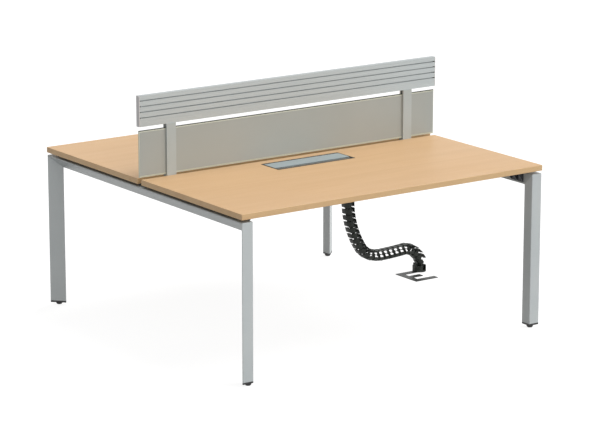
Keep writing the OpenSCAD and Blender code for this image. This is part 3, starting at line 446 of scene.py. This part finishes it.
rail_aluminium = aluminium_finish("brushed_rail", linear(186, 192, 192), linear(172, 179, 180),
                                  roughness=0.36)
port_aluminium = aluminium_finish("port_aluminium", linear(188, 202, 207), linear(179, 193, 198),
                                  roughness=0.33)
print("aluminium ready")

# %% [markdown]
# ## Frosted screen
#
# The sheet is satin all over. Its bevelled border is a little green, and it is
# painted lighter as a painted highlight where the bevel catches the light; this band
# is hardly seen at the two ends. A thin band along the top edge is painted dark. The border
# could be made as strips of its own, but the real screen is one sheet. So the
# shader works out how near a point lies to the sheet's edges, which it knows from
# the imported model's box.

# %% Where the screen's border lies
panel_low, panel_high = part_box("screen_panel")
bevel_width = 0.007
side_skin = 0.002
top_skin = 0.0032


def near_ends(tree, position, low, high, margin):
    """1 where a position lies within a margin of either end of a stretch or beyond, 0 between."""
    away = add_node(tree, "ShaderNodeMath", {0: position, 1: (low + high) / 2}, operation="SUBTRACT")
    distance = add_node(tree, "ShaderNodeMath", {0: away.outputs[0]}, operation="ABSOLUTE")
    return add_node(tree, "ShaderNodeMath", {0: distance.outputs[0], 1: (high - low) / 2 - margin},
                    operation="GREATER_THAN").outputs[0]


print("screen from", round(panel_low.z, 3), "to", round(panel_high.z, 3))


# %% Finish of the screen
def panel_finish():
    finish, tree, shader = new_finish("frosted_screen", Coat_Weight=0.2, Coat_Roughness=0.18)
    grain = use_group(tree, fine_grain, {"Size": 0.0009, "Patch": 0.5})
    body = tone(tree, grain.outputs["Blotch"], noise_low, noise_high, linear(164, 169, 165),
                linear(169, 173, 169))
    place = add_node(tree, "ShaderNodeTexCoord").outputs["Object"]
    split = add_node(tree, "ShaderNodeSeparateXYZ", {0: place})
    at_side = near_ends(tree, split.outputs["X"], panel_low.x, panel_high.x, side_skin)
    at_height = near_ends(tree, split.outputs["Z"], panel_low.z, panel_high.z, bevel_width)
    bevel_highlight = add_node(tree, "ShaderNodeMath", {0: at_side, 1: at_height}, operation="MAXIMUM")
    # The border gets a light green-white: a little green of its own, made lighter by a painted highlight
    highlighted = add_node(tree, "ShaderNodeMixRGB", {"Fac": bevel_highlight.outputs[0], "Color1": body,
                                                   "Color2": linear(206, 210, 192)})
    # A thin band along the top edge is painted dark
    on_top = add_node(tree, "ShaderNodeMath", {0: split.outputs["Z"], 1: panel_high.z - top_skin},
                      operation="GREATER_THAN")
    edged = add_node(tree, "ShaderNodeMixRGB", {"Fac": on_top.outputs[0], "Color1": highlighted.outputs[0],
                                                "Color2": linear(44, 48, 38)})
    tree.links.new(edged.outputs[0], shader.inputs["Base Color"])
    tree.links.new(spread(tree, grain.outputs["Height"], 0.34, 0.42), shader.inputs["Roughness"])
    relief(tree, shader, grain.outputs["Height"], depth=0.00004)
    return finish


frosted = panel_finish()
print("screen finish ready")

# %% [markdown]
# ## Moulded plastics and the floor plate
#
# The feet, caps, brackets, port rims and the cable spine are moulded plastic,
# most of it nearly black. Pure black could be used, but no real plastic is that
# dark, and the spine's links would be lost in it. So each plastic has two close
# tones, and a fine grain that breaks up its reflections. The floor plate gets a
# dark paint.

# %% Moulded plastics and the floor plate's paint
def plastic_finish(name, light, dark, roughness=0.45, size=0.0011, shine=0.5):
    finish, tree, shader = new_finish(name, Specular_IOR_Level=shine)
    grain = use_group(tree, fine_grain, {"Size": size, "Patch": 0.06})
    colour = tone(tree, grain.outputs["Blotch"], patch_low, patch_high, dark, light)
    tree.links.new(colour, shader.inputs["Base Color"])
    tree.links.new(spread(tree, grain.outputs["Height"], roughness - 0.06, roughness + 0.08),
                   shader.inputs["Roughness"])
    relief(tree, shader, grain.outputs["Height"], depth=0.0001)
    return finish


black_plastic = plastic_finish("black_plastic", linear(34, 34, 35), linear(26, 26, 27))
bracket_plastic = plastic_finish("bracket_plastic", linear(52, 53, 56), linear(40, 41, 44))
port_plastic = plastic_finish("port_rim_plastic", linear(58, 60, 60), linear(48, 50, 50))
spine_plastic = plastic_finish("spine_plastic", linear(44, 49, 44), linear(34, 38, 34),
                               roughness=0.42, shine=0.3)
cap_plastic = plastic_finish("rail_cap_plastic", linear(214, 212, 212), linear(208, 206, 206),
                             roughness=0.4)
plate_paint = paint_finish("floor_plate_paint", linear(54, 56, 54), linear(40, 42, 41),
                           roughness=0.46, coat=0.15, shine=0.35)
print("plastics ready")

# %% [markdown]
# ## Plated steel
#
# Screws, nuts, studs and pins are zinc plated, and the brackets' bolts are black.
# Threads and tool marks could be drawn in relief, but the heads are small and
# most of them are hidden. Plain metal with patches of roughness is enough.

# %% Bright zinc and black oxide
def plated_finish(name, light, dark):
    finish, tree, shader = new_finish(name, Metallic=1.0)
    grain = use_group(tree, fine_grain, {"Size": 0.0015, "Patch": 0.01})
    colour = tone(tree, grain.outputs["Blotch"], patch_low, patch_high, dark, light)
    tree.links.new(colour, shader.inputs["Base Color"])
    tree.links.new(spread(tree, grain.outputs["Blotch"], 0.28, 0.42), shader.inputs["Roughness"])
    return finish


zinc = plated_finish("bright_zinc", linear(205, 205, 202), linear(176, 177, 176))
black_oxide = plated_finish("black_oxide", linear(92, 94, 92), linear(70, 72, 70))
print("plated finishes ready")

# %% [markdown]
# ## Painted shade on the plugs in the rail's grooves
#
# Each end cap has plugs that reach into the rail's grooves, where little light
# gets to them. The plugs could be parts of their own, but a real cap is moulded
# with them in one piece. So the caps' finish is painted nearly black wherever it
# lies within the rail's length: a painted shade for the grooves' shadow.

# %% Paint shade on the plugs of the end caps
def paint_plug_shade(finish):
    """Paints the end caps' plugs nearly black: painted shade where they lie in the rail's grooves."""
    tree = finish.node_tree
    base = tree.nodes["Principled BSDF"].inputs["Base Color"]
    rail_low, rail_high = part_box("rail_core")
    place = add_node(tree, "ShaderNodeTexCoord").outputs["Object"]
    split = add_node(tree, "ShaderNodeSeparateXYZ", {0: place})
    beyond_rail = near_ends(tree, split.outputs["X"], rail_low.x, rail_high.x, 0)
    # Nearly black within the rail's length: painted shade on the plugs
    shaded_plugs = add_node(tree, "ShaderNodeMixRGB", {"Fac": beyond_rail, "Color1": linear(30, 33, 32),
                                                  "Color2": base.links[0].from_socket})
    tree.links.new(shaded_plugs.outputs[0], base)


paint_plug_shade(cap_plastic)
print("plugs darkened")

# %% [markdown]
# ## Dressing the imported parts
#
# A part whose shape is right keeps its mesh and only gets a finish. Every part
# could be named in full, but parts of one kind share the start of their names.
# The table goes from that start to a finish, and the first match counts.
# Fasteners that it doesn't name get the zinc.

# %% Give every part its finish
finishes = [
    ("worktop_screws", zinc), ("worktop", beech), ("edge_band", beech_edge),
    ("leg_end_caps", black_plastic), ("leg", silver_paint), ("crossbar", crossbar_shaded_paint),
    ("beam_bolts", zinc), ("beam_pads", black_plastic), ("beam", silver_paint),
    ("glide_pad", black_plastic), ("corner_brackets", bracket_plastic), ("spacer", black_plastic),
    ("post_carriers", silver_paint), ("screen_post", post_shaded_paint), ("screen_panel", frosted),
    ("rail_brackets", bracket_plastic), ("rail_screws", zinc), ("rail_end_caps", cap_plastic),
    ("rail", rail_aluminium), ("cable_tray", silver_paint), ("port_frame", port_plastic),
    ("port_lid", port_aluminium), ("bracket_bolts", black_oxide), ("brush", black_plastic),
    ("spine_foot_screw", zinc), ("spine", spine_plastic),
    ("floor_plate", plate_paint),
]
for name, part in nodes.items():
    chosen = next((finish for start, finish in finishes if name.startswith(start)), zinc)
    part.data.materials.clear()
    part.data.materials.append(chosen)
print("finishes given to", len(nodes), "parts")

# %% [markdown]
# ## New pieces
#
# A new piece is modelled where it stands, in the desk's own metres, so that its
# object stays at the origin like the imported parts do. This helper turns a
# finished bmesh into an object that rides on a body and stands for a part.

# %% Helper: keep a finished mesh
def keep(name, shape, finish, body, stands_for=()):
    mesh = bpy.data.meshes.new(name)
    shape.to_mesh(mesh)
    shape.free()
    mesh.materials.append(finish)
    piece = bpy.data.objects.new(name, mesh)
    bpy.context.scene.collection.objects.link(piece)
    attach(piece, body)
    for node_name in stands_for:
        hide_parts(node_name)
    print(name, len(mesh.polygons), "faces")


def block(low, high):
    """A box between two corners."""
    shape = bmesh.new()
    bmesh.ops.create_cube(shape, size=1)
    size = high - low
    bmesh.ops.scale(shape, vec=size, verts=shape.verts)
    bmesh.ops.translate(shape, vec=(low + high) / 2, verts=shape.verts)
    return shape


print("helpers for new pieces ready")

# %% [markdown]
# ## Edge bands
#
# The worktops have a plastic band around them whose long edges are rounded, and
# that small round catches a line of light. A Bevel modifier can't round the
# packed band, because its triangles aren't joined. So the band is made anew: a
# box whose top and bottom are inset by its thickness, opened and joined to a
# hollow frame, and its outer edges are bevelled.

# %% Edge bands with rounded edges
band_t = 0.002
band_round = 0.0014
same_place = 1e-6


def edge_band(node_name):
    low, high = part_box(node_name)
    shape = block(low, high)
    caps = [f for f in shape.faces if abs(f.normal.z) > 0.9]
    bmesh.ops.inset_individual(shape, faces=caps, thickness=band_t, use_even_offset=True)
    rims = [e for f in caps for e in f.edges]
    bmesh.ops.delete(shape, geom=caps, context="FACES_ONLY")
    bmesh.ops.bridge_loops(shape, edges=rims)
    outer = [e for e in shape.edges
             if all(abs(v.co.x - low.x) < same_place or abs(v.co.x - high.x) < same_place or
                    abs(v.co.y - low.y) < same_place or abs(v.co.y - high.y) < same_place
                    for v in e.verts)]
    bmesh.ops.bevel(shape, geom=outer, offset=band_round, segments=3, profile=0.5,
                    affect="EDGES", material=-1)
    return shape


keep("band_front", edge_band("edge_band_front"), beech_edge, "frame", ["edge_band_front"])
keep("band_rear", edge_band("edge_band_rear"), beech_edge, "frame", ["edge_band_rear"])

# %% [markdown]
# ## Brushes
#
# Each cable port is closed by a row of stiff bristles between its rim and the
# lid. They stand in a bar of the same colour, nearly parallel, with a little
# disorder at the tips. One bristle is a three-sided cone, thin at the tip. It is
# repeated along the bar in tufts of ten, each one a little leaned and shortened
# from a fixed seed. Bristles made as hair would be finer, but they would not be
# solid meshes.

# %% Sizes of a brush
tuft_pitch = 0.0062
tuft_width = 0.0042
bristles_a_tuft = 10
bristle_root = 0.0006
bristle_tip = 0.0003
bristle_shortest = 0.93
lean_limit = math.radians(3)
bar_depth = 0.006
bar_round = 0.0006
# How far the bar's top and the two layers of bristles lie below the brush's top
bar_drop = 0.0003
layer_drops = (0.0032, 0.0022)
# How deep a bristle is set in the bar
root_depth = 0.0005
seed_front = 7
seed_rear = 11
print("tufts of", bristles_a_tuft, "every", tuft_pitch, "m")


# %% Brushes of bristles
def brush(node_name, side):
    """side is -1 for the front port, whose bristles point to the rear, and 1 for the rear port."""
    low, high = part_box(node_name)
    chance = random.Random(seed_front if side < 0 else seed_rear)
    far = low.y if side < 0 else high.y
    root_y = far - side * bar_depth
    tip_y = high.y if side < 0 else low.y
    length = abs(tip_y - root_y) + root_depth
    bar_low = Vector((low.x, min(far, root_y), low.z))
    bar_high = Vector((high.x, max(far, root_y), high.z - bar_drop))
    shape = block(bar_low, bar_high)
    bmesh.ops.bevel(shape, geom=shape.edges[:], offset=bar_round, segments=2, profile=0.5,
                    affect="EDGES", material=-1)
    tufts = int((high.x - low.x) / tuft_pitch)
    first = (low.x + high.x - (tufts - 1) * tuft_pitch - tuft_width) / 2
    step = tuft_width / (bristles_a_tuft - 1)
    for k in range(tufts * bristles_a_tuft):
        made = bmesh.ops.create_cone(shape, cap_ends=True, segments=3, radius1=bristle_root,
                                     radius2=bristle_tip,
                                     depth=length * chance.uniform(bristle_shortest, 1.0))
        bristle = made["verts"]
        # The cone starts at its root and points to the lid before it is leaned
        bmesh.ops.translate(shape, vec=(0, 0, length / 2), verts=bristle)
        turn = Matrix.Rotation(math.pi / 2 * side, 3, "X")
        lean = Matrix.Rotation(chance.uniform(-lean_limit, lean_limit), 3, "Z")
        bmesh.ops.rotate(shape, cent=(0, 0, 0), matrix=lean @ turn, verts=bristle)
        along = first + k // bristles_a_tuft * tuft_pitch + k % bristles_a_tuft * step
        place = Vector((along, root_y + side * root_depth, high.z - layer_drops[k % 2]))
        bmesh.ops.translate(shape, vec=place, verts=bristle)
    return shape


bristle_finish = plastic_finish("stiff_bristles", linear(156, 156, 148), linear(124, 124, 117),
                                roughness=0.5, size=0.003)
keep("brush_front", brush("brush_strip_front", -1), bristle_finish, "frame", ["brush_strip_front"])
keep("brush_rear", brush("brush_strip_rear", 1), bristle_finish, "frame", ["brush_strip_rear"])

# %% [markdown]
# ## Foot pads
#
# The glides are moulded pads that are widest just under the leg's cap and
# narrow towards the floor, so that they slide over a carpet's edge. Such a pad
# could be a cone with bevelled rims, but a profile turned about the stud gives
# the round lower rim and the flat shoulder at once. It hides the stud's hexagon.

# %% Foot pads turned from a profile
pad_top = 0.0145
pad_floor = 0.0115
pad_height = 0.0095
pad_rim = 0.0012
pad_rim_mid = 0.3 * pad_rim
pad_shoulder = 0.55 * pad_height
pad_steps = 48


def foot_pad(node_name):
    low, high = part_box(node_name)
    centre = Vector(((low.x + high.x) / 2, (low.y + high.y) / 2, low.z))
    profile = [(0.0, 0.0), (pad_floor - pad_rim, 0.0), (pad_floor - pad_rim_mid, pad_rim_mid),
               (pad_floor, pad_rim), (pad_top, pad_shoulder), (pad_top, pad_height - pad_rim),
               (pad_top - pad_rim, pad_height), (0.0, pad_height)]
    shape = bmesh.new()
    points = [shape.verts.new(centre + Vector((radius, 0, height))) for radius, height in profile]
    rim = [shape.edges.new(pair) for pair in zip(points, points[1:])]
    bmesh.ops.spin(shape, geom=points + rim, cent=centre, axis=(0, 0, 1), angle=2 * math.pi,
                   steps=pad_steps, use_merge=True, use_duplicate=False)
    bmesh.ops.remove_doubles(shape, verts=shape.verts, dist=same_place)
    bmesh.ops.recalc_face_normals(shape, faces=shape.faces)
    for face in shape.faces:
        face.smooth = True
    return shape


for end in ("front", "rear"):
    for side in ("left", "right"):
        corner = end + "_" + side
        keep("foot_" + corner, foot_pad("glide_pad_" + corner), black_plastic, "glide_" + corner,
             ["glide_pad_" + corner])
